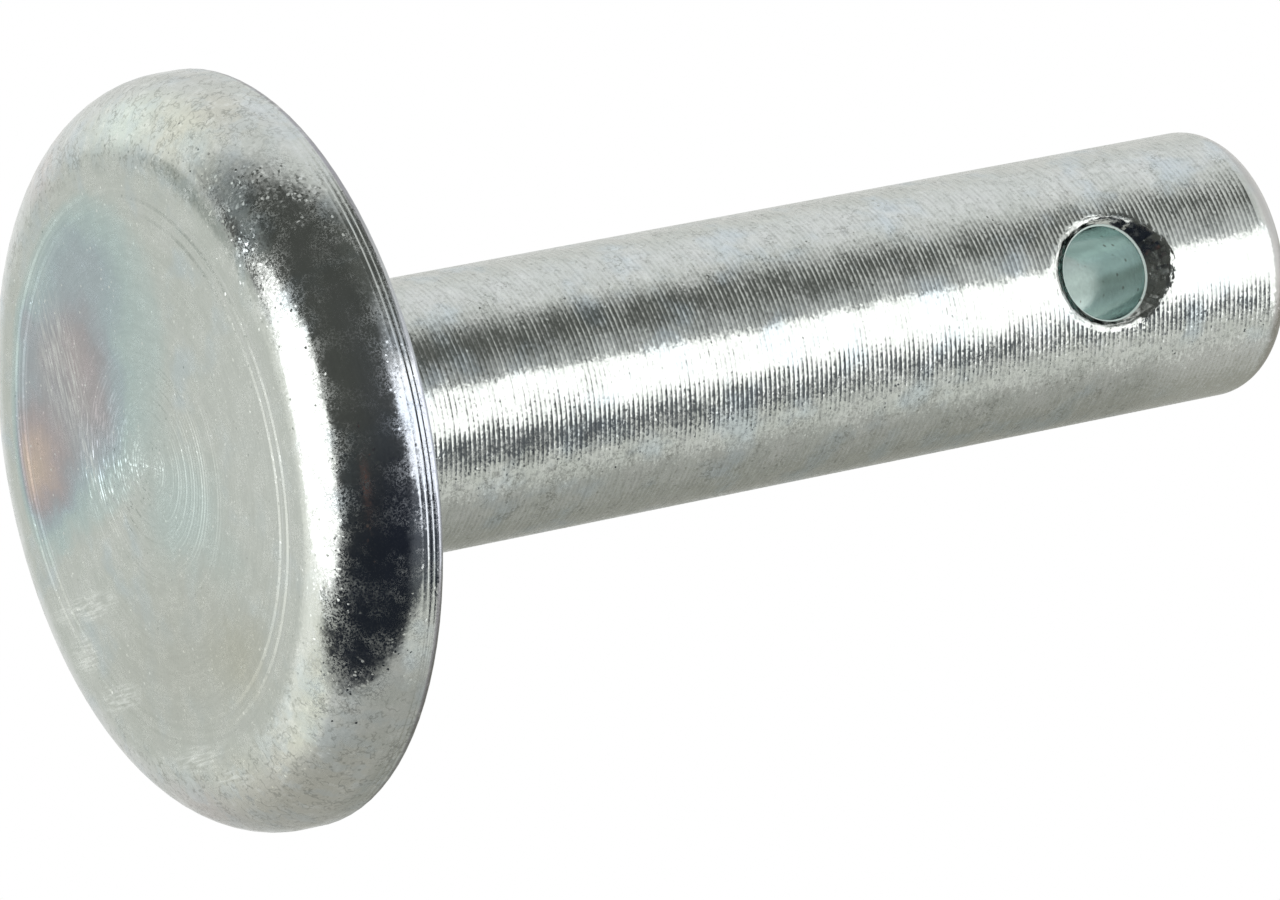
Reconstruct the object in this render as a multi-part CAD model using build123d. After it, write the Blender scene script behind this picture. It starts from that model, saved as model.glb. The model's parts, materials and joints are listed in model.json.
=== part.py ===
from build123d import *
import os

# Headed bearing pin, in millimetres: one piece of steel, turned from bar and then cross-drilled.
# It stands on its head. The origin is the middle of the head's flat face, +Z runs along the shank
# to the tip, and the cross hole lies along Y.

# Shank
shank_diameter = 10.0
shank_length = 42.0  # from the underside of the head to the tip
tip_radius = 1.25  # rounding of the tip's edge
root_radius = 0.6  # fillet where the shank meets the underside of the head

# Head
head_diameter = 27.2
head_thickness = 4.0
nose_radius = 3.0  # large rounding between the flat face and the rim
back_edge_break = 0.15  # small rounding of the rim's back edge

# Cross hole for a split pin
hole_diameter = 3.5
hole_to_tip = 8.0  # from the hole's axis to the tip
countersink_diameter = 4.9
countersink_angle = 90.0

# Values that follow from the sizes above
shank_radius = shank_diameter / 2
head_radius = head_diameter / 2
pin_length = head_thickness + shank_length
hole_height = pin_length - hole_to_tip


def corner(section, radius, height):
    """The section's corner at this radius and height."""
    return section.vertices().sort_by_distance((radius, height, 0))[0]


def turned_blank():
    """The half section with its four rounded corners, turned about the pin's axis."""
    with BuildPart() as blank:
        with BuildSketch(Plane.XZ) as section:
            with BuildLine():
                Polyline(
                    (0, 0),
                    (head_radius, 0),
                    (head_radius, head_thickness),
                    (shank_radius, head_thickness),
                    (shank_radius, pin_length),
                    (0, pin_length),
                    close=True,
                )
            make_face()
            fillet(corner(section, head_radius, 0), nose_radius)
            fillet(corner(section, head_radius, head_thickness), back_edge_break)
            fillet(corner(section, shank_radius, head_thickness), root_radius)
            fillet(corner(section, shank_radius, pin_length), tip_radius)
        revolve(axis=Axis.Z)
    return blank.part


def drilled_pin():
    """The blank with its cross hole drilled through and countersunk where it opens on each side."""
    with BuildPart() as pin:
        add(turned_blank())
        for side in (-1, 1):
            mouth = Plane(origin=(0, side * shank_radius, hole_height), z_dir=(0, side, 0))
            with Locations(mouth):
                CounterSinkHole(
                    radius=hole_diameter / 2,
                    counter_sink_radius=countersink_diameter / 2,
                    depth=shank_diameter,
                    counter_sink_angle=countersink_angle,
                )
    return pin.part


os.makedirs("parts", exist_ok=True)
export_step(drilled_pin(), "parts/bearing_pin.step")
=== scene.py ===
import bpy
import json
import math
import random
from mathutils import Matrix, Vector


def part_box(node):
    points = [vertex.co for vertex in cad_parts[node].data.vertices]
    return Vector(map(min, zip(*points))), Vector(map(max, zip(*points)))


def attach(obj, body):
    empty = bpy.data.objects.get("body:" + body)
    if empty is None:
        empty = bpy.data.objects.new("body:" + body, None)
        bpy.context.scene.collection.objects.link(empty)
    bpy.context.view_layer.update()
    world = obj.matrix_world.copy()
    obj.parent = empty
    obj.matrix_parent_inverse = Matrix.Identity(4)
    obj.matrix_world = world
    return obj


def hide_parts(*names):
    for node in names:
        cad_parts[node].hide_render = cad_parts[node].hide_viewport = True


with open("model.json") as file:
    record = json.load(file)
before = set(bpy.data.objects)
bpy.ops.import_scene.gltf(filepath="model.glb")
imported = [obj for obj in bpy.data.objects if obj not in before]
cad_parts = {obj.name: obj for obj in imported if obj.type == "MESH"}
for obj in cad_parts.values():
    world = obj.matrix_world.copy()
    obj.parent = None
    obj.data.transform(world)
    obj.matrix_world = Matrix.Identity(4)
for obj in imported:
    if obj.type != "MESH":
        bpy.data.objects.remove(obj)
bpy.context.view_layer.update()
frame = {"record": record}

# ---------------------------------------------------------------------------
# Sizes of the pin, in metres
# ---------------------------------------------------------------------------

MM = 0.001
mounts = {mount["name"]: mount for mount in frame["record"]["mounts"]}
_, pin_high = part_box("bearing_pin")

pin_length = pin_high.z
head_radius = pin_high.x
shank_radius = mounts["shank"]["dims"]["r_mm"] * MM
hole_radius = mounts["split_pin_hole"]["dims"]["r_mm"] * MM
hole_height = mounts["split_pin_hole"]["pos_m"][2]
head_thickness = mounts["head_seat"]["pos_m"][2]

nose_radius = 3.0 * MM  # rounding between the head's face and its rim
rim_edge_radius = 0.28 * MM  # broken edge behind the rim
root_radius = 0.6 * MM  # fillet under the head
tip_radius = 1.25 * MM
shank_start = head_thickness + root_radius
shank_end = pin_length - tip_radius
rim_lines = [  # height, half width and depth of each tool line round the rim
    (3.13 * MM, 0.05 * MM, 0.004 * MM),
    (3.37 * MM, 0.09 * MM, 0.010 * MM),
    (3.58 * MM, 0.07 * MM, 0.007 * MM),
]

centre_pit = [(0, 0.012 * MM), (0.21 * MM, 0.010 * MM), (0.35 * MM, 0)]  # radius and depth
torn_radius = 5.2 * MM  # the tool rubs and tears deeper this near to the middle of the face
faced_radius = 9.0 * MM  # the facing marks end here
face_rings = (9.27 * MM, 9.78 * MM)  # radius of each fine groove round the face
ring_reach = 0.17 * MM  # half the groove's width at the face
ring_floor_reach = 0.04 * MM  # half its width at the bottom
ring_depth = 0.018 * MM

turning_feed = 0.2 * MM  # how far the tool moves in one turn of the lathe
shank_marks = (turning_feed, 0.0050 * MM, 0.15)  # feed, depth, and how uneven the depths are
facing_marks = (0.19 * MM, 0.0028 * MM, 0.5)
torn_marks = (0.19 * MM, 0.0058 * MM, 0.6)
tip_marks = (0.3 * MM, 0.003 * MM, 0.10)

nose_steps = 26
edge_steps = 14
spin_steps = 100
crest_angle = math.radians(7.0)  # edges sharper than this stay crisp

countersink_radius = 2.45 * MM
bore_edge_radius = 0.09 * MM
bore_edge_tilts = (45, 38.5, 32, 25.5, 19, 12.5, 6, 0)  # degrees, from countersink to bore
mouth_corners = 96  # points round each mouth of the hole
mouth_softness = 0.15 * MM  # how far the edge of a mouth is rubbed away on average
mouth_unevenness = 0.055 * MM
over_skin, down_cone = 1.15, 0.7  # how far the rubbing reaches each way, in shares of itself
mouth_curve_steps = 9
lip_waves = [(0.030 * MM, 19, 0.0), (0.025 * MM, 31, 2.0)]  # height, count and start of each wave
lip_tear = 0.02 * MM
hole_margin = 0.2 * MM  # how far round the mouth the hole's finish may reach
skin_margin = 0.012 * MM  # how deep below the shank's skin it starts

same_point = 1e-8
merge_distance = 1e-7

# ---------------------------------------------------------------------------
# Modelling
# ---------------------------------------------------------------------------


def edit_mode():
    bpy.ops.object.mode_set(mode="EDIT")


def object_mode():
    bpy.ops.object.mode_set(mode="OBJECT")


def deselect_objects():
    bpy.ops.object.select_all(action="DESELECT")


def make_active(piece):
    deselect_objects()
    piece.select_set(True)
    bpy.context.view_layer.objects.active = piece


def turning_marks(start, end, marks, into, dice):
    """Points from start to end: a shallow scallop for each turn of the lathe, cut along into."""
    feed, depth, uneven = marks
    start, end, into = Vector(start), Vector(end), Vector(into)
    turns = round((end - start).length / feed)
    points = []
    for number in range(turns):
        cut = depth * dice.uniform(1 - uneven, 1 + uneven)
        for share in (1 / 3, 2 / 3):
            along = start.lerp(end, (number + share) / turns)
            points.append(along + into * cut)
        if number < turns - 1:
            crest = start.lerp(end, (number + 1 + dice.uniform(-0.05, 0.05)) / turns)
            points.append(crest)
    points.append(end)
    return points


def rounding(centre, radius, first, last, steps):
    """Points on an arc about centre, between two angles from the radius towards the height."""
    points = []
    for step in range(steps + 1):
        angle = math.radians(first + (last - first) * step / steps)
        across = centre[0] + radius * math.cos(angle)
        height = centre[1] + radius * math.sin(angle)
        points.append(Vector((across, height)))
    return points


def face_points(dice):
    """The face: a pit in the middle, facing marks, two fine rings, then flat to the rounding."""
    points = [Vector(point) for point in centre_pit]
    pit_edge = (centre_pit[-1][0], 0)
    torn_edge = (torn_radius, 0)
    faced_edge = (faced_radius, 0)
    inwards = (0, 1)
    points += turning_marks(pit_edge, torn_edge, torn_marks, inwards, dice)
    points += turning_marks(torn_edge, faced_edge, facing_marks, inwards, dice)
    for ring in face_rings:
        points.append(Vector((ring - ring_reach, 0)))
        points.append(Vector((ring - ring_floor_reach, ring_depth)))
        points.append(Vector((ring + ring_floor_reach, ring_depth)))
        points.append(Vector((ring + ring_reach, 0)))
    return points


def rim_points():
    """The rounding, the rim with three tool lines, and the rounded edge behind it."""
    nose_centre = (head_radius - nose_radius, nose_radius)
    points = rounding(nose_centre, nose_radius, -90, 0, nose_steps)
    for line, reach, depth in rim_lines:
        points.append(Vector((head_radius, line - reach)))
        points.append(Vector((head_radius - depth, line - reach * 0.25)))
        points.append(Vector((head_radius - depth, line + reach * 0.25)))
        points.append(Vector((head_radius, line + reach)))
    edge_centre = (head_radius - rim_edge_radius, head_thickness - rim_edge_radius)
    return points + rounding(edge_centre, rim_edge_radius, 0, 90, edge_steps)


def underside_points():
    """The underside of the head and the fillet at the root of the shank."""
    rim_edge = head_radius - rim_edge_radius
    root_centre = (shank_radius + root_radius, shank_start)
    points = []
    for share in (0.25, 0.5, 0.75):
        inward = rim_edge + (root_centre[0] - rim_edge) * share
        points.append(Vector((inward, head_thickness)))
    return points + rounding(root_centre, root_radius, 270, 180, edge_steps)


def shank_points(dice):
    """The shank with its turning marks, the rounded tip and its end face."""
    foot, top = (shank_radius, shank_start), (shank_radius, shank_end)
    tip_centre = (shank_radius - tip_radius, shank_end)
    tip_edge, tip_middle = (tip_centre[0], pin_length), (0, pin_length)
    points = turning_marks(foot, top, shank_marks, (-1, 0), dice)
    points += rounding(tip_centre, tip_radius, 0, 90, edge_steps)[1:]
    return points + turning_marks(tip_edge, tip_middle, tip_marks, (0, -1), dice)


def half_section():
    """The pin's half section as (radius, height) points, from the face's middle to the tip's."""
    dice = random.Random(42)
    return face_points(dice) + rim_points() + underside_points() + shank_points(dice)


def turn(name, points):
    """Draws the half section point by point and spins it round the pin's axis."""
    bpy.ops.mesh.primitive_plane_add(size=MM, location=(points[0].x, 0, points[0].y))
    piece = bpy.context.object
    piece.name = name
    edit_mode()
    bpy.ops.mesh.merge(type="CENTER")
    here = points[0]
    for point in points[1:]:
        step = point - here
        if step.length < same_point:
            continue
        move = {"value": (step.x, 0, step.y)}
        bpy.ops.mesh.extrude_region_move(TRANSFORM_OT_translate=move)
        here = point
    bpy.ops.mesh.select_all(action="SELECT")
    bpy.ops.mesh.spin(steps=spin_steps, angle=math.tau, center=(0, 0, 0), axis=(0, 0, 1))
    bpy.ops.mesh.select_all(action="SELECT")
    bpy.ops.mesh.remove_doubles(threshold=merge_distance)
    bpy.ops.mesh.normals_make_consistent(inside=False)
    object_mode()
    bpy.ops.object.transform_apply(location=True, rotation=True, scale=True)
    return piece


def skin_drop(across):
    """How far the round shank falls away from the hole's tangent plane, this far off its axis."""
    return shank_radius - math.sqrt(shank_radius**2 - across**2)


def mouth_radius(angle):
    """Where the 45 degree countersink leaves the round shank, at an angle round the hole."""
    radius = countersink_radius
    for _ in range(20):
        radius = countersink_radius - skin_drop(radius * math.cos(angle))
    return radius


def torn_lip(angle):
    """How far the lip of a mouth is torn outwards, on the side towards the tip."""
    tip_side = max(0.0, math.sin(angle)) ** 2
    waves = sum(height * math.sin(count * angle + start) for height, count, start in lip_waves)
    return tip_side * (waves + lip_tear)


def mouth_line(angle, edge):
    """Distances from the hole's axis and depths below its tangent plane, from air to bore."""
    rim = mouth_radius(angle) + torn_lip(angle)
    rim_depth = skin_drop(rim * math.cos(angle))
    outer = rim + edge * over_skin
    inner = rim - edge * down_cone
    skin = (outer, skin_drop(outer * math.cos(angle)))
    corner = (rim, rim_depth)
    cone = (inner, rim_depth + rim - inner)
    slope = (skin[1] - rim_depth) / (outer - rim)

    # Clear of the skin, then down to it at a shallow angle
    line = [(outer + 0.6 * MM, -2 * MM)]
    for away in (0.5 * MM, 0.12 * MM):
        line.append((outer + away, skin[1] + slope * away - 0.45 * away))

    # A smooth curve over the rubbed edge
    for step in range(mouth_curve_steps + 1):
        share = step / mouth_curve_steps
        a, b, c = (1 - share) ** 2, 2 * share * (1 - share), share**2
        away = a * skin[0] + b * corner[0] + c * cone[0]
        depth = a * skin[1] + b * corner[1] + c * cone[1]
        line.append((away, depth))

    # The countersink, and its rounded edge with the bore
    bore_depth = countersink_radius - hole_radius
    line.append(((inner + hole_radius) / 2, (cone[1] + bore_depth) / 2))
    for tilt in bore_edge_tilts:
        lean = math.radians(tilt)
        away = hole_radius + bore_edge_radius * (1 - math.cos(lean))
        below_edge = bore_edge_radius * (math.tan(math.radians(22.5)) - math.sin(lean))
        line.append((away, bore_depth + below_edge))
    line.append((hole_radius, bore_depth + 0.5 * MM))
    return line


def drill():
    """The tool that cuts the cross hole: bore, countersinks and the rubbed edges of both mouths."""
    dice = random.Random(7)
    broad_wave = (dice.randint(2, 5), dice.uniform(0, 6.28))
    short_wave = (dice.randint(6, 11), dice.uniform(0, 6.28))
    waves = [broad_wave, short_wave, (23, 1.0)]  # count round the mouth, and start
    rings = 2 * len(mouth_line(0.0, mouth_softness))
    bpy.ops.mesh.primitive_circle_add(vertices=mouth_corners, radius=hole_radius, fill_type="NGON")
    tool = bpy.context.object
    tool.name = "drill"
    edit_mode()
    for _ in range(rings - 1):
        bpy.ops.mesh.select_mode(type="FACE")
        bpy.ops.mesh.extrude_region_move(TRANSFORM_OT_translate={"value": (0, 0, MM)})
    object_mode()
    for vertex in tool.data.vertices:
        ring = round(vertex.co.z / MM)
        angle = math.atan2(vertex.co.y, vertex.co.x)
        wobble = sum(math.sin(count * angle + start) for count, start in waves) / len(waves)
        line = mouth_line(angle, mouth_softness + mouth_unevenness * wobble)
        side = -1 if ring < rings / 2 else 1
        away, depth = line[ring] if side < 0 else line[rings - 1 - ring]
        along = side * (shank_radius - depth)
        vertex.co = (away * math.cos(angle), along, hole_height + away * math.sin(angle))
    edit_mode()
    bpy.ops.mesh.select_all(action="SELECT")
    bpy.ops.mesh.normals_make_consistent(inside=False)
    object_mode()
    return tool


def cut(piece, tool):
    make_active(piece)
    modifier = piece.modifiers.new("cross hole", "BOOLEAN")
    modifier.operation = "DIFFERENCE"
    modifier.solver = "EXACT"
    modifier.object = tool
    bpy.ops.object.modifier_apply(modifier=modifier.name)
    bpy.data.objects.remove(tool)


def in_hole(centre):
    """Whether a face's middle lies inside the bore or on a countersink."""
    away = math.hypot(centre.x, centre.z - hole_height)
    below_skin = shank_radius - math.hypot(centre.x, centre.y)
    return away < countersink_radius + hole_margin and below_skin > skin_margin


deselect_objects()
plated_pin = turn("plated_pin", half_section())
cut(plated_pin, drill())
make_active(plated_pin)
bpy.ops.object.shade_smooth_by_angle(angle=crest_angle)

# ---------------------------------------------------------------------------
# Finishes. Lengths in them are in millimetres, and scales count features per millimetre.
# ---------------------------------------------------------------------------


class Recipe:
    """A node tree, written as short lines."""

    def __init__(self, owner):
        owner.use_nodes = True
        self.tree = owner.node_tree
        self.tree.nodes.clear()

    def add(self, kind, **settings):
        node = self.tree.nodes.new(kind)
        for name, value in settings.items():
            setattr(node, name, value)
        return node

    def feed(self, socket, value):
        if isinstance(value, bpy.types.NodeSocket):
            self.tree.links.new(value, socket)
        else:
            socket.default_value = value

    def math(self, operation, *values, clamp=False):
        node = self.add("ShaderNodeMath", operation=operation, use_clamp=clamp)
        for socket, value in zip(node.inputs, values):
            self.feed(socket, value)
        return node.outputs[0]

    def times(self, product, *factors):
        for factor in factors:
            product = self.math("MULTIPLY", product, factor)
        return product

    def between(self, share, low, high):
        """From low where the share is 0 to high where it is 1."""
        return self.math("MULTIPLY_ADD", share, high - low, low)

    def vector(self, operation, *values):
        node = self.add("ShaderNodeVectorMath", operation=operation)
        for socket, value in zip(node.inputs, values):
            self.feed(socket, value)
        gives_number = operation in ("DOT_PRODUCT", "LENGTH")
        return node.outputs["Value"] if gives_number else node.outputs[0]

    def scaled(self, vector, factor):
        node = self.add("ShaderNodeVectorMath", operation="SCALE")
        self.feed(node.inputs[0], vector)
        self.feed(node.inputs["Scale"], factor)
        return node.outputs[0]

    def parts(self, vector):
        node = self.add("ShaderNodeSeparateXYZ")
        self.feed(node.inputs[0], vector)
        return node.outputs

    def joined(self, x, y, z):
        node = self.add("ShaderNodeCombineXYZ")
        for socket, value in zip(node.inputs, (x, y, z)):
            self.feed(socket, value)
        return node.outputs[0]

    def ramp(self, value, low, high, out_low=0.0, out_high=1.0):
        """A soft step: out_low where the value is under low, and out_high where it is over high."""
        node = self.add("ShaderNodeMapRange", interpolation_type="SMOOTHSTEP")
        self.feed(node.inputs["Value"], value)
        self.feed(node.inputs["From Min"], low)
        self.feed(node.inputs["From Max"], high)
        self.feed(node.inputs["To Min"], out_low)
        self.feed(node.inputs["To Max"], out_high)
        return node.outputs[0]

    def fade(self, value, start, end):
        """1 up to the start, softly down to 0 at the end."""
        return self.ramp(value, start, end, 1.0, 0.0)

    def noise(self, vector, scale, detail, roughness, w=None):
        node = self.add("ShaderNodeTexNoise", noise_dimensions="3D" if w is None else "4D")
        self.feed(node.inputs["Vector"], vector)
        self.feed(node.inputs["Scale"], scale)
        self.feed(node.inputs["Detail"], detail)
        self.feed(node.inputs["Roughness"], roughness)
        if w is not None:
            self.feed(node.inputs["W"], w)
        return node.outputs[0]

    def blend(self, share, first, second, mode="MIX"):
        node = self.add("ShaderNodeMix", data_type="RGBA", blend_type=mode)
        self.feed(node.inputs["Factor"], share)
        self.feed(node.inputs["A"], first)
        self.feed(node.inputs["B"], second)
        return node.outputs["Result"]

    def output(self, shader, kind="ShaderNodeOutputMaterial"):
        self.tree.links.new(shader, self.add(kind).inputs["Surface"])


def rgb(red, green, blue):
    return (red, green, blue, 1.0)


zinc_grey = rgb(0.560, 0.585, 0.557)
zinc_pale = rgb(0.600, 0.620, 0.597)
zinc_sky = rgb(0.540, 0.605, 0.635)
zinc_beige = rgb(0.515, 0.523, 0.485)
zinc_warm = rgb(0.600, 0.600, 0.545)
zinc_olive = rgb(0.500, 0.500, 0.440)
zinc_pink = rgb(0.600, 0.560, 0.545)
zinc_mint = rgb(0.640, 0.700, 0.670)
zinc_violet = rgb(0.550, 0.545, 0.570)
zinc_dusk = rgb(0.340, 0.335, 0.355)
zinc_blue = rgb(0.470, 0.510, 0.650)
# colour of the painted highlight on the edge between countersink and bore
highlight_mint = rgb(0.800, 0.930, 0.880)
# the plating's tint made greener in the bore: partly its own tint, partly painted green bounce
# light
bore_bounce_green = rgb(0.510, 0.625, 0.612)
pale_white = rgb(0.820, 0.840, 0.820)
pit_grey = rgb(0.22, 0.23, 0.21)

film_colours = [  # the passivated film on the face, from where it is thin to where it is thickest
    (0.00, zinc_grey),
    (0.18, rgb(0.525, 0.595, 0.585)),
    (0.35, rgb(0.470, 0.560, 0.560)),
    (0.48, rgb(0.418, 0.492, 0.525)),
    (0.58, rgb(0.405, 0.440, 0.478)),
    (0.70, rgb(0.400, 0.390, 0.415)),
    (0.82, rgb(0.450, 0.395, 0.405)),
    (0.92, rgb(0.550, 0.450, 0.412)),
    (1.00, rgb(0.610, 0.500, 0.410)),
]
film_patches = [  # middle and reach along X and Y, the flat share of the reach, thickness
    ((-5.4, 2.5), (6.8, 8.2), 0.35, 0.29),
    ((-2.7, 6.4), (5.2, 7.6), 0.42, 0.37),
    ((-1.2, 9.6), (3.9, 5.4), 0.14, 0.59),
    ((1.9, -1.8), (4.3, 5.6), 0.00, 0.21),
    ((-7.2, 2.1), (4.1, 5.1), 0.22, 0.23),
    ((-7.3, 7.4), (2.2, 1.9), 0.00, 0.34),
    ((4.6, -4.7), (1.9, 2.9), 0.06, 0.09),
    ((-4.0, 5.0), (4.2, 4.8), 0.30, 0.045),
    ((-2.8, 3.0), (3.8, 2.8), 0.30, 0.05),
]
head_tints = [  # colour, middle and reach along X and Y, strength
    (zinc_pale, (1.0, -8.5), (9.0, 5.5), 0.9),
    (zinc_beige, (7.0, 0.0), (5.0, 11.0), 0.9),
    (zinc_olive, (7.4, -3.4), (2.2, 3.2), 0.9),
    (zinc_warm, (12.2, -2.5), (2.6, 9.5), 1.0),
    (zinc_pink, (-11.4, 4.0), (1.8, 3.6), 0.8),
    (zinc_pink, (12.3, 3.5), (1.8, 3.8), 0.8),
    (zinc_mint, (-11.7, -2.6), (1.3, 2.6), 1.0),
    (zinc_warm, (-11.2, -7.0), (2.2, 3.2), 0.9),
]
face_highlight_streaks = [  # pale painted highlight streaks on the face: middle and reach of each, the longer reach along the streak; strength
    ((-4.4, 5.0), (3.9, 2.3), 0.65),
    ((-1.0, 4.4), (2.1, 0.6), 0.7),
    ((4.0, 7.3), (0.7, 3.3), 1.4),
    ((5.6, 8.2), (1.1, 1.7), 1.0),
    ((7.5, 6.2), (0.7, 2.2), 1.1),
    ((10.4, 1.5), (0.7, 3.0), 1.0),
    ((11.3, -0.7), (0.55, 1.9), 1.0),
]
across_streak = 8.0  # stripes per millimetre across a painted highlight streak
along_streak = 0.9


def ring_lines(r, height, first, feed):
    """0 on the crests of the turning marks and 1 at the bottoms between them."""
    turns = r.math("DIVIDE", r.math("SUBTRACT", height, first), feed)
    wave = r.math("COSINE", r.times(turns, math.tau))
    return r.between(wave, 0.5, 0.0)


def specks(r, place, scale, size, share):
    """Small spots: 1 inside a spot, 0 outside, in this share of the cells."""
    cells = r.add("ShaderNodeTexVoronoi")
    r.feed(cells.inputs["Vector"], place)
    r.feed(cells.inputs["Scale"], scale)
    chosen = r.math("LESS_THAN", r.parts(cells.outputs["Color"])[0], share)
    return r.times(r.fade(cells.outputs["Distance"], size * 0.6, size), chosen)


def hairs(r, place, scale, width):
    """Fine curling lines: 1 on a line and 0 between them."""
    off_line = r.math("ABSOLUTE", r.math("SUBTRACT", r.noise(place, scale, 2.0, 0.6), 0.5))
    return r.fade(off_line, 0.0, width)


def clouds(r, place, scale, edges, levels=(0.0, 1.0), detail=3.0, roughness=0.6, shift=None):
    """Soft random patches: the first level where noise is under the first edge, then the second."""
    if shift:
        place = r.vector("ADD", place, shift)
    return r.ramp(r.noise(place, scale, detail, roughness), *edges, *levels)


def tilts(r, place, scale, detail, amount):
    """Small random leans of the surface, as a vector to add to its normal."""
    field = r.add("ShaderNodeTexNoise")
    r.feed(field.inputs["Vector"], place)
    r.feed(field.inputs["Scale"], scale)
    r.feed(field.inputs["Detail"], detail)
    return r.scaled(r.vector("SUBTRACT", field.outputs["Color"], (0.5, 0.5, 0.5)), amount)


def crystals(r, place, scale, least, steepest, rarity):
    """Leans of the single zinc crystals; a few of them stand steeper and catch the light."""
    cells = r.add("ShaderNodeTexVoronoi")
    r.feed(cells.inputs["Vector"], place)
    r.feed(cells.inputs["Scale"], scale)
    way = r.vector("SUBTRACT", cells.outputs["Color"], (0.5, 0.5, 0.5))
    dice = r.add("ShaderNodeTexWhiteNoise")
    r.feed(dice.inputs["Vector"], cells.outputs["Position"])
    steep = r.math("POWER", dice.outputs["Value"], rarity)
    thick = clouds(r, place, 1.6, (0.35, 0.7))
    return r.scaled(way, r.math("MULTIPLY_ADD", r.times(steep, thick), steepest, least))


def patch(r, x, y, middle, reach, flat=0.0):
    """1 in the flat middle of a soft patch across the head and 0 beyond its reach."""
    offset = r.joined(
        r.math("DIVIDE", r.math("SUBTRACT", x, middle[0]), reach[0]),
        r.math("DIVIDE", r.math("SUBTRACT", y, middle[1]), reach[1]),
        0.0,
    )
    return r.fade(r.vector("LENGTH", offset), flat, 1.0)


def centred(r, noise, amount):
    return r.times(r.math("SUBTRACT", noise, 0.5), amount)


def plating(r, place):
    """The zinc's own colour, a little cloudy, with bluish places."""
    colour = r.blend(clouds(r, place, 0.7, (0.38, 0.66)), zinc_grey, zinc_pale)
    sky = clouds(r, place, 0.45, (0.50, 0.70), roughness=0.55, shift=(31.0, 7.0, 11.0))
    return r.blend(r.times(sky, 0.7), colour, zinc_sky)


def shaded(r, colour, *factors):
    """The colour, darkened or lightened by each factor."""
    for factor in factors:
        colour = r.blend(1.0, colour, r.joined(factor, factor, factor), "MULTIPLY")
    return colour


class Turned:
    """Directions on a surface of revolution: round its axis, and across the marks."""

    def __init__(self, r, x, y, z, upright=True):
        self.r = r
        self.z = z
        squares = r.math("ADD", r.times(x, x), r.times(y, y))
        self.away = r.math("MAXIMUM", r.math("SQRT", squares), 0.001)
        self.across = r.math("DIVIDE", x, self.away)
        self.along = r.math("DIVIDE", y, self.away)
        back = r.times(self.along, -1.0)
        round_axis = (back, self.across, 0.0) if upright else (back, 0.0, self.across)
        self.normal = r.add("ShaderNodeNewGeometry").outputs["Normal"]
        cross_axis = r.vector("CROSS_PRODUCT", r.joined(*round_axis), self.normal)
        self.cross_axis = r.vector("NORMALIZE", cross_axis)

    def streaks(self, fine, often, detail=2.0):
        """Noise drawn out round the axis: this fine across the marks, this often round the axis."""
        r = self.r
        stretched = r.joined(
            r.times(self.across, often),
            r.times(self.along, often),
            r.times(self.z, fine),
        )
        return r.noise(stretched, 1.0, detail, 0.55, w=r.times(self.away, fine))

    def leaning(self, streak, *leans):
        """The surface's normal with a lean across the marks and other leans added."""
        r = self.r
        tilted = r.vector("ADD", self.normal, r.scaled(self.cross_axis, streak))
        for lean in leans:
            tilted = r.vector("ADD", tilted, lean)
        return r.vector("NORMALIZE", tilted)


def new_finish(name):
    """A material, its recipe, and the place on the pin in millimetres."""
    material = bpy.data.materials.new(name)
    r = Recipe(material)
    return material, r, r.scaled(r.add("ShaderNodeTexCoord").outputs["Object"], 1 / MM)


def bright_metal(r, colour, roughness, normal, metal=1.0):
    shader = r.add("ShaderNodeBsdfPrincipled")
    r.feed(shader.inputs["Metallic"], metal)
    r.feed(shader.inputs["Base Color"], colour)
    r.feed(shader.inputs["Roughness"], roughness)
    r.feed(shader.inputs["Normal"], normal)
    r.output(shader.outputs[0])


def film_thickness(r, x, y, on_face):
    film = 0.0
    for middle, reach, flat, thickness in film_patches:
        film = r.math("MULTIPLY_ADD", patch(r, x, y, middle, reach, flat), thickness, film)
    return r.math("MULTIPLY", film, on_face, clamp=True)


def film_colour(r, film):
    rainbow = r.add("ShaderNodeValToRGB")
    r.feed(rainbow.inputs[0], film)
    stops = rainbow.color_ramp.elements
    for position, _ in film_colours[2:]:
        stops.new(position)
    for stop, (position, colour) in zip(stops, film_colours):
        stop.position = position
        stop.color = colour
    return rainbow.outputs[0]


def painted_face_highlights(r, x, y, z):
    """Pale painted highlight streaks on the face, each in fine stripes along its length."""
    pale_share = 0.0
    for middle, reach, strength in face_highlight_streaks:
        painted_streak = r.times(patch(r, x, y, middle, reach, flat=0.2), strength)
        streak_along_x = reach[0] > reach[1]
        fine_x = along_streak if streak_along_x else across_streak
        fine_y = across_streak if streak_along_x else along_streak
        drawn_out = r.joined(r.times(x, fine_x), r.times(y, fine_y), z)
        stripes = clouds(r, drawn_out, 1.0, (0.40, 0.70), detail=4.0, roughness=0.7)
        pale_share = r.math("MAXIMUM", pale_share, r.times(painted_streak, stripes))
    return r.times(r.math("MINIMUM", pale_share, 0.8), r.fade(z, 0.6, 1.4))


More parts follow.
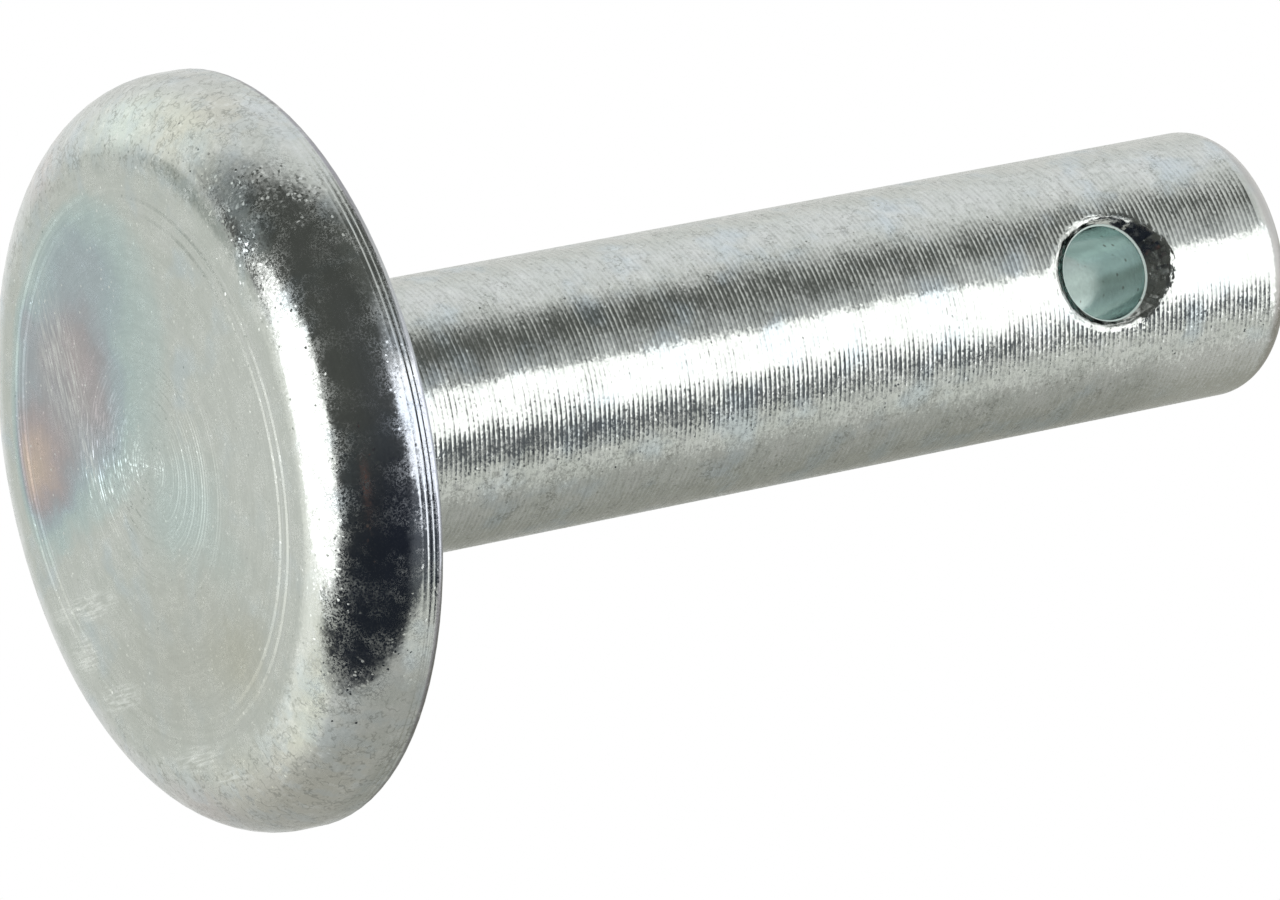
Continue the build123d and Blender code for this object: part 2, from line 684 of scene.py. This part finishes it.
def head_zinc():
    """Plating on the head: a rainbow film and painted highlight streaks on the face, haze and pits
    on the rounding.
    """
    material, r, place = new_finish("head_zinc")
    x, y, z = r.parts(place)
    turned = Turned(r, x, y, z)
    on_face = r.times(r.fade(turned.away, 9.6, 10.6), r.fade(z, 0.4, 1.2))
    off_face = r.ramp(turned.away, 10.3, 11.2)
    to_sides = r.math("ABSOLUTE", turned.across)

    # The film, with ragged outlines
    slow_drift = tilts(r, place, 0.8, detail=2.0, amount=1.6)
    fine_drift = tilts(r, place, 7.0, detail=3.0, amount=0.5)
    drift = r.vector("ADD", slow_drift, fine_drift)
    film_x, film_y, _ = r.parts(r.vector("ADD", place, drift))
    film = film_thickness(r, film_x, film_y, on_face)
    colour = r.blend(r.ramp(film, 0.02, 0.16), plating(r, place), film_colour(r, film))

    # Other tints, and the band at the back edge
    before_band = r.fade(z, 2.2, 3.2)
    for tint, middle, reach, strength in head_tints:
        share = r.times(patch(r, film_x, film_y, middle, reach), strength, before_band)
        colour = r.blend(share, colour, tint)
    back_band = r.ramp(z, 3.64, 3.74)
    colour = r.blend(r.times(back_band, 0.5), colour, zinc_violet)
    colour = r.blend(r.times(back_band, r.ramp(to_sides, 0.25, 0.60)), colour, zinc_dusk)
    low_side = patch(r, film_x, film_y, (2.0, -13.0), (7.0, 2.4), flat=0.2)
    blue_haze = r.times(low_side, r.ramp(z, 1.2, 2.2), 0.45)
    colour = r.blend(blue_haze, colour, zinc_blue)

    # Pale painted highlight streaks, and pale dots
    colour = r.blend(painted_face_highlights(r, x, y, z), colour, pale_white)
    film_dots = r.times(specks(r, place, 3.6, size=0.20, share=0.22), r.ramp(film, 0.2, 0.6))
    dots = r.math("MAXIMUM", specks(r, place, 2.6, size=0.17, share=0.10), film_dots)
    colour = r.blend(r.times(dots, on_face, 0.6), colour, pale_white)

    # Pits and blotches, thickest on the parts of the rounding towards -X and +X
    pitted = r.times(r.ramp(to_sides, 0.55, 0.85), off_face)
    scratched = clouds(r, place, 1.3, (0.42, 0.54))
    scratches = r.times(hairs(r, place, 1.9, width=0.045), scratched, 0.50)
    pits = r.times(specks(r, place, 3.4, size=0.28, share=0.22), 0.45)
    pits = r.math("MAXIMUM", pits, scratches)
    lone_pits = r.times(specks(r, place, 1.7, size=0.10, share=0.3), 0.3)
    pits = r.math("MAXIMUM", r.times(pits, pitted), lone_pits)
    elsewhere = (17.0, 5.0, 2.0)
    blotches = clouds(r, place, 1.7, (0.52, 0.66), detail=4.0, roughness=0.65, shift=elsewhere)
    colour = r.blend(r.times(blotches, pitted, 0.38), colour, pale_white)
    cool = clouds(r, place, 0.9, (0.50, 0.62), shift=(3.0, 21.0, 8.0))
    colour = r.blend(r.times(cool, pitted, 0.35), colour, zinc_sky)
    grain = clouds(r, place, 9.0, (0.3, 0.7), (0.965, 1.03), roughness=0.7)
    lines = r.ramp(turned.streaks(fine=7.0, often=6.0, detail=3.0), 0.3, 0.7, 0.96, 1.03)
    colour = shaded(r, colour, grain, lines)
    colour = r.blend(pits, colour, pit_grey)

    # Haze: soft clouds full of fine hairs and grains
    hazy = r.between(clouds(r, place, 1.1, (0.36, 0.66)), 0.1, 1.0)
    grains = clouds(r, place, 13.0, (0.46, 0.68), detail=2.0)
    haze = r.times(r.math("MAXIMUM", hairs(r, place, 5.5, width=0.055), grains), hazy)
    roughness = r.between(haze, 0.12, 0.48)

    # Leans: torn dashes near the middle of the face, a frosted place on the rounding, fine grain
    torn = r.times(patch(r, x, y, (-0.6, 2.2), (3.0, 4.5), flat=0.5), r.fade(z, 0.1, 0.5))
    dashes = r.times(centred(r, turned.streaks(fine=6.0, often=7.0, detail=1.0), 0.95), torn)
    from_frost = r.vector("SUBTRACT", place, (-6.8, -10.3, 1.7))
    frosted = r.fade(r.vector("LENGTH", from_frost), 0.8, 2.9)
    frost = crystals(r, place, 10.0, least=0.06, steepest=0.55, rarity=3.0)
    normal = turned.leaning(
        r.math("ADD", centred(r, turned.streaks(fine=11.0, often=9.0), 0.05), dashes),
        tilts(r, place, 0.9, detail=1.0, amount=0.05),
        tilts(r, place, 6.0, detail=4.0, amount=0.055),
        crystals(r, place, 12.0, least=0.02, steepest=0.45, rarity=10.0),
        r.scaled(frost, frosted),
    )
    bright_metal(r, colour, roughness, normal)
    return material


def burr_lean(r, x, z, beads):
    """Leans on the beaded burr that stands round each mouth of the cross hole."""
    from_hole = r.joined(x, 0.0, r.math("SUBTRACT", z, hole_height / MM))
    hole_reach = r.vector("LENGTH", from_hole)
    drop = r.times(r.times(x, x), 0.5 * MM / shank_radius)
    past_edge = r.math("SUBTRACT", r.math("ADD", hole_reach, drop), countersink_radius / MM)
    burr = r.times(r.ramp(past_edge, 0.07, 0.14), r.fade(past_edge, 0.20, 0.34))
    return r.scaled(r.vector("NORMALIZE", from_hole), r.times(burr, beads, -0.35))


def shank_zinc():
    """Plating on the shank: painted shade along the turning lines, wiry pits, a paler place near
    the tip, and a burr round the hole.
    """
    material, r, place = new_finish("shank_zinc")
    x, y, z = r.parts(place)
    turned = Turned(r, x, y, z)
    side = r.math("ABSOLUTE", r.math("ADD", turned.across, 0.05))
    to_sides = r.ramp(side, 0.30, 0.70)

    # Painted shade in the bottoms of the turning marks, with slightly lighter crests, broken here
    # and there
    on_shank = r.ramp(z, head_thickness / MM, shank_start / MM)
    broken = r.ramp(turned.streaks(fine=5.0, often=10.0, detail=2.0), 0.35, 0.65)
    marks = ring_lines(r, z, shank_start / MM, turning_feed / MM)
    marks = r.times(marks, on_shank, broken, r.between(to_sides, 0.1, 1.0))
    lines = r.between(marks, 1.04, 0.85)
    streaks = r.ramp(turned.streaks(fine=7.0, often=6.0, detail=3.0), 0.3, 0.7, 0.95, 1.04)
    grain = clouds(r, place, 14.0, (0.3, 0.7), (0.98, 1.02), detail=2.0)
    pale_spots = clouds(r, place, 2.2, (0.55, 0.75), (1.0, 1.10), shift=(5.0, 3.0, 9.0))
    colour = shaded(r, plating(r, place), streaks, grain, lines, pale_spots)

    # Wires and pits, a paler place near the tip towards +X, and a pinkish tip
    wiry = clouds(r, place, 0.9, (0.50, 0.64), detail=4.0, roughness=0.65)
    wires = r.times(hairs(r, place, 2.8, width=0.05), wiry, to_sides, 0.6)
    pits = r.times(specks(r, place, 3.4, size=0.26, share=0.14), to_sides, 0.45)
    colour = r.blend(r.math("MAXIMUM", pits, wires), colour, pit_grey)
    pale_share = r.times(r.ramp(z, 38.5, 42.5), r.ramp(turned.across, 0.62, 0.75), 0.75)
    colour = r.blend(pale_share, colour, pale_white)
    near_tip = r.ramp(z, pin_length / MM - 1.2, pin_length / MM - 0.7)
    colour = r.blend(r.times(near_tip, 0.7), colour, zinc_pink)

    haze = clouds(r, place, 3.4, (0.44, 0.66), detail=5.0, roughness=0.8)
    haze = r.times(haze, r.between(to_sides, 0.3, 1.0))
    roughness = r.between(haze, 0.14, 0.48)
    beads = clouds(r, place, 2.4, (0.38, 0.62), detail=2.0)
    glints = crystals(r, place, 13.0, least=0.10, steepest=0.5, rarity=12.0)
    normal = turned.leaning(
        centred(r, turned.streaks(fine=11.0, often=9.0), 0.09),
        tilts(r, place, 0.9, detail=1.0, amount=0.12),
        tilts(r, place, 6.0, detail=3.0, amount=0.085),
        r.scaled(glints, r.between(to_sides, 0.4, 1.0)),
        burr_lean(r, x, z, beads),
    )
    bright_metal(r, colour, roughness, normal)
    return material


def hole_zinc():
    """Plating in the hole: a greenish bore partly painted with bounce light, a pale edge ring
    painted as a highlight, and torn countersinks.
    """
    material, r, place = new_finish("hole_zinc")
    x, y, z = r.parts(place)
    turned = Turned(r, x, r.math("SUBTRACT", z, hole_height / MM), y, upright=False)
    bore = hole_radius / MM
    in_bore = r.fade(turned.away, bore + 0.002, bore + 0.01)
    past_bore = r.fade(turned.away, bore + 0.05, bore + 0.09)
    edge_highlight_ring = r.times(r.math("SUBTRACT", 1.0, in_bore), past_bore)
    on_sink = r.ramp(turned.away, bore + 0.06, bore + 0.14)

    # The bore is greener than the plating: partly its own tint, partly painted light for the green
    # cast bounced round inside it
    colour = r.blend(in_bore, plating(r, place), bore_bounce_green)
    shade = clouds(r, place, 0.5, (0.3, 0.7), (0.93, 1.05), detail=2.0, roughness=0.5)
    grain = clouds(r, place, 6.0, (0.3, 0.7), (0.94, 1.06), roughness=0.7)
    colour = shaded(r, colour, shade, grain)
    # Painted highlight: a pale mint ring where the countersink meets the bore
    colour = r.blend(edge_highlight_ring, colour, highlight_mint)
    pits = r.times(specks(r, place, 2.5, size=0.22, share=0.50), 0.8)
    scratches = r.times(on_sink, r.times(hairs(r, place, 2.0, width=0.06), 0.5))
    colour = r.blend(r.math("MAXIMUM", pits, scratches), colour, pit_grey)

    haze = clouds(r, place, 3.0, (0.42, 0.66), detail=4.0, roughness=0.7)
    roughness = r.between(r.times(haze, on_sink), 0.15, 0.40)
    # The painted highlight ring is also rougher and barely metallic
    roughness = r.math("MULTIPLY_ADD", edge_highlight_ring, 0.65, roughness)
    metal = r.between(edge_highlight_ring, 1.0, 0.15)
    normal = turned.leaning(
        r.times(centred(r, turned.streaks(fine=8.0, often=3.0), 0.80), on_sink),
        r.scaled(tilts(r, place, 2.2, detail=2.0, amount=0.75), on_sink),
        tilts(r, place, 1.2, detail=1.0, amount=0.05),
    )
    bright_metal(r, colour, roughness, normal, metal)
    return material


for finish in (head_zinc(), shank_zinc(), hole_zinc()):
    plated_pin.data.materials.append(finish)
on_head, on_shank, in_cross_hole = range(3)
for face in plated_pin.data.polygons:
    if in_hole(face.center):
        face.material_index = in_cross_hole
    elif face.center.z > head_thickness - 0.001 * MM:
        face.material_index = on_shank
    else:
        face.material_index = on_head

# ---------------------------------------------------------------------------
# Studio
# ---------------------------------------------------------------------------


def facing(azimuth, elevation):
    """A direction from the pin: azimuth 0 is towards -Y and 90 towards +X."""
    turned, rise = math.radians(azimuth), math.radians(elevation)
    level = math.cos(rise)
    return Vector((math.sin(turned) * level, -math.cos(turned) * level, math.sin(rise)))


def below(x, y):
    """A point half a metre below the pin, given by its slope from straight down."""
    return Vector((x, y, -1)) * 0.5


def hide_from(thing, *rays):
    for ray in rays:
        setattr(thing, "visible_" + ray, False)


def new_paint(name):
    material = bpy.data.materials.new(name)
    return material, Recipe(material)


def softbox(name, corners, strength):
    """A plain white panel of light; its corners go round it in order."""
    deselect_objects()
    bpy.ops.mesh.primitive_circle_add(vertices=len(corners), radius=1.0, fill_type="NGON")
    panel = bpy.context.object
    panel.name = name
    for vertex, corner in zip(panel.data.vertices, corners):
        vertex.co = corner
    glow, r = new_paint(name)
    light = r.add("ShaderNodeEmission")
    r.feed(light.inputs["Color"], rgb(1.0, 1.0, 1.0))
    r.feed(light.inputs["Strength"], strength)
    r.output(light.outputs[0])
    panel.data.materials.append(glow)
    hide_from(panel, "camera")


low_softbox_corners = [
    below(-0.40, -0.31),
    below(0.04, -0.26),
    below(0.34, -0.10),
    below(0.40, 0.20),
    below(-0.03, 0.97),
    below(-0.50, 0.09),
]
front_softbox_corners = [
    facing(-11, 19.5) * 0.6,
    facing(17, 22) * 0.6,
    facing(68, 47) * 0.6,
    facing(-22, 62) * 0.6,
]
softbox("low_softbox", low_softbox_corners, 2.2)
softbox("front_softbox", front_softbox_corners, 1.9)

# Cloths that the bright metal mirrors, hung as one round tent. Each has the azimuth and elevation
# of its middle, the angles from there where it starts to fade and where it ends, and its colour.
pale_cloths = [
    ((-178, -32), (8, 32), rgb(0.78, 0.80, 0.76)),
    ((-130, -20), (5, 32), rgb(1.13, 1.15, 1.08)),
    ((-158, -43), (3, 13), rgb(0.48, 0.51, 0.48)),
    ((-152, 34), (8, 28), rgb(0.84, 0.84, 0.82)),
    ((172, -49), (4, 20), rgb(1.20, 1.21, 1.15)),
    ((118, 18), (25, 70), rgb(0.52, 0.52, 0.495)),
    ((66, 30), (5, 20), rgb(0.90, 0.91, 0.87)),
    ((135, -48), (5, 22), rgb(1.12, 1.12, 1.02)),
    ((142, 52), (8, 38), rgb(0.34, 0.34, 0.30)),
    ((-105, 62), (8, 34), rgb(0.78, 0.80, 0.80)),
    ((-100, 35), (6, 22), rgb(1.02, 1.03, 1.05)),
]
dark_cloths = [
    ((-46, 27), (6, 20), rgb(0.125, 0.13, 0.122)),
    ((44, 33), (8, 24), rgb(0.13, 0.14, 0.155)),
    ((-106, -52), (2, 15), rgb(0.26, 0.275, 0.265)),
    ((23, -37), (2, 7), rgb(0.15, 0.09, 0.08)),
]
left_fringe_normal = (0.632, -0.691, -0.352)  # the dark side of the tent lies between two fringes
right_fringe_normal = (-0.239, -0.845, -0.479)


def near(r, toward, azimuth, elevation, inner, outer):
    """1 within the inner angle of a direction and 0 beyond the outer one."""
    cosine = r.vector("DOT_PRODUCT", toward, tuple(facing(azimuth, elevation)))
    return r.ramp(cosine, math.cos(math.radians(outer)), math.cos(math.radians(inner)))


def hung(r, toward, backing, cloths):
    """The backing's colour with cloths hung in front of it."""
    for middle, edges, colour in cloths:
        backing = r.blend(near(r, toward, *middle, *edges), backing, colour)
    return backing


def tent_colour(r):
    toward = r.vector("NORMALIZE", r.add("ShaderNodeTexCoord").outputs["Object"])
    pale = hung(r, toward, rgb(0.95, 0.96, 0.95), pale_cloths)
    veil = r.times(near(r, toward, -40, 43, 4, 14), 0.3)
    pale = r.blend(veil, pale, rgb(0.40, 0.41, 0.39))

    dark_side = r.ramp(r.parts(toward)[0], -0.15, 0.60)
    dark = r.blend(dark_side, rgb(0.095, 0.099, 0.093), rgb(0.020, 0.024, 0.034))
    dark = hung(r, toward, dark, dark_cloths)
    left_fringe = r.ramp(r.vector("DOT_PRODUCT", toward, left_fringe_normal), -0.60, -0.24)
    right_fringe = r.ramp(r.vector("DOT_PRODUCT", toward, right_fringe_normal), -0.065, 0.055)
    below_top = r.fade(r.parts(toward)[2], 0.57, 0.65)
    cloth = r.blend(r.times(left_fringe, right_fringe, below_top), pale, dark)
    card = r.times(near(r, toward, -14, 38, 2, 22), 0.5)
    return r.blend(card, cloth, rgb(0.9, 0.93, 0.95))


bpy.ops.mesh.primitive_uv_sphere_add(segments=64, ring_count=32, radius=0.9, location=(0, 0, 0))
tent = bpy.context.object
tent.name = "studio_tent"
bpy.ops.object.shade_smooth()
tent_cloth, r = new_paint("tent_cloth")
tent_light = r.add("ShaderNodeEmission")
r.feed(tent_light.inputs["Color"], tent_colour(r))
r.output(tent_light.outputs[0])
tent.data.materials.append(tent_cloth)
tent_cloth.cycles.emission_sampling = "NONE"
hide_from(tent, "camera", "diffuse", "shadow")

# Pale floor under the head, seen only from above
bpy.ops.mesh.primitive_circle_add(vertices=96, radius=1.2, fill_type="NGON", location=(0, 0, 0))
floor = bpy.context.object
floor.name = "pale_floor"
floor_paint, r = new_paint("pale_floor")
rays = r.add("ShaderNodeLightPath").outputs
front_side = r.math("SUBTRACT", 1.0, r.add("ShaderNodeNewGeometry").outputs["Backfacing"])
seen = r.times(rays["Is Camera Ray"], front_side)
paint = r.add("ShaderNodeBsdfDiffuse")
r.feed(paint.inputs["Color"], rgb(0.9, 0.9, 0.9))
floor_mix = r.add("ShaderNodeMixShader")
r.feed(floor_mix.inputs[0], seen)
r.feed(floor_mix.inputs[1], r.add("ShaderNodeBsdfTransparent").outputs[0])
r.feed(floor_mix.inputs[2], paint.outputs[0])
r.output(floor_mix.outputs[0])
floor.data.materials.append(floor_paint)

# White surroundings, plain soft light on what isn't mirrored
world = bpy.data.worlds.new("white_room")
bpy.context.scene.world = world
r = Recipe(world)
world.cycles.sampling_method = "NONE"  # its light differs by kind of ray, so it is only ever hit
rays = r.add("ShaderNodeLightPath").outputs
straight = r.math("ADD", rays["Is Camera Ray"], rays["Is Glossy Ray"])
shown = r.math("ADD", straight, rays["Is Transmission Ray"], clamp=True)
world_mix = r.add("ShaderNodeMixShader")
r.feed(world_mix.inputs[0], shown)
for slot, brightness in ((1, 0.75), (2, 1.0)):  # as soft light, and as it is seen
    room = r.add("ShaderNodeBackground")
    r.feed(room.inputs["Color"], rgb(1, 1, 1))
    r.feed(room.inputs["Strength"], brightness)
    r.feed(world_mix.inputs[slot], room.outputs[0])
r.output(world_mix.outputs[0], "ShaderNodeOutputWorld")

# ---------------------------------------------------------------------------
# Camera
# ---------------------------------------------------------------------------

camera_place = Vector((0.021017, -0.293138, -0.150711))
camera_right = Vector((0.2257, -0.47877, 0.84843))
camera_up = Vector((-0.97271, -0.15877, 0.16916))

camera_data = bpy.data.cameras.new("camera")
camera_data.sensor_width = 36.0
camera_data.lens = 263.917
camera_data.clip_start = 0.01
camera_data.clip_end = 3.0
camera = bpy.data.objects.new("camera", camera_data)
bpy.context.scene.collection.objects.link(camera)
camera_back = camera_right.cross(camera_up)
camera_turn = Matrix((camera_right, camera_up, camera_back)).transposed().to_4x4()
camera.matrix_world = Matrix.Translation(camera_place) @ camera_turn
bpy.context.scene.camera = camera
bpy.context.scene.view_settings.view_transform = "Standard"

# ---------------------------------------------------------------------------
# Place in the frame
# ---------------------------------------------------------------------------

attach(plated_pin, "root")
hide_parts("bearing_pin")
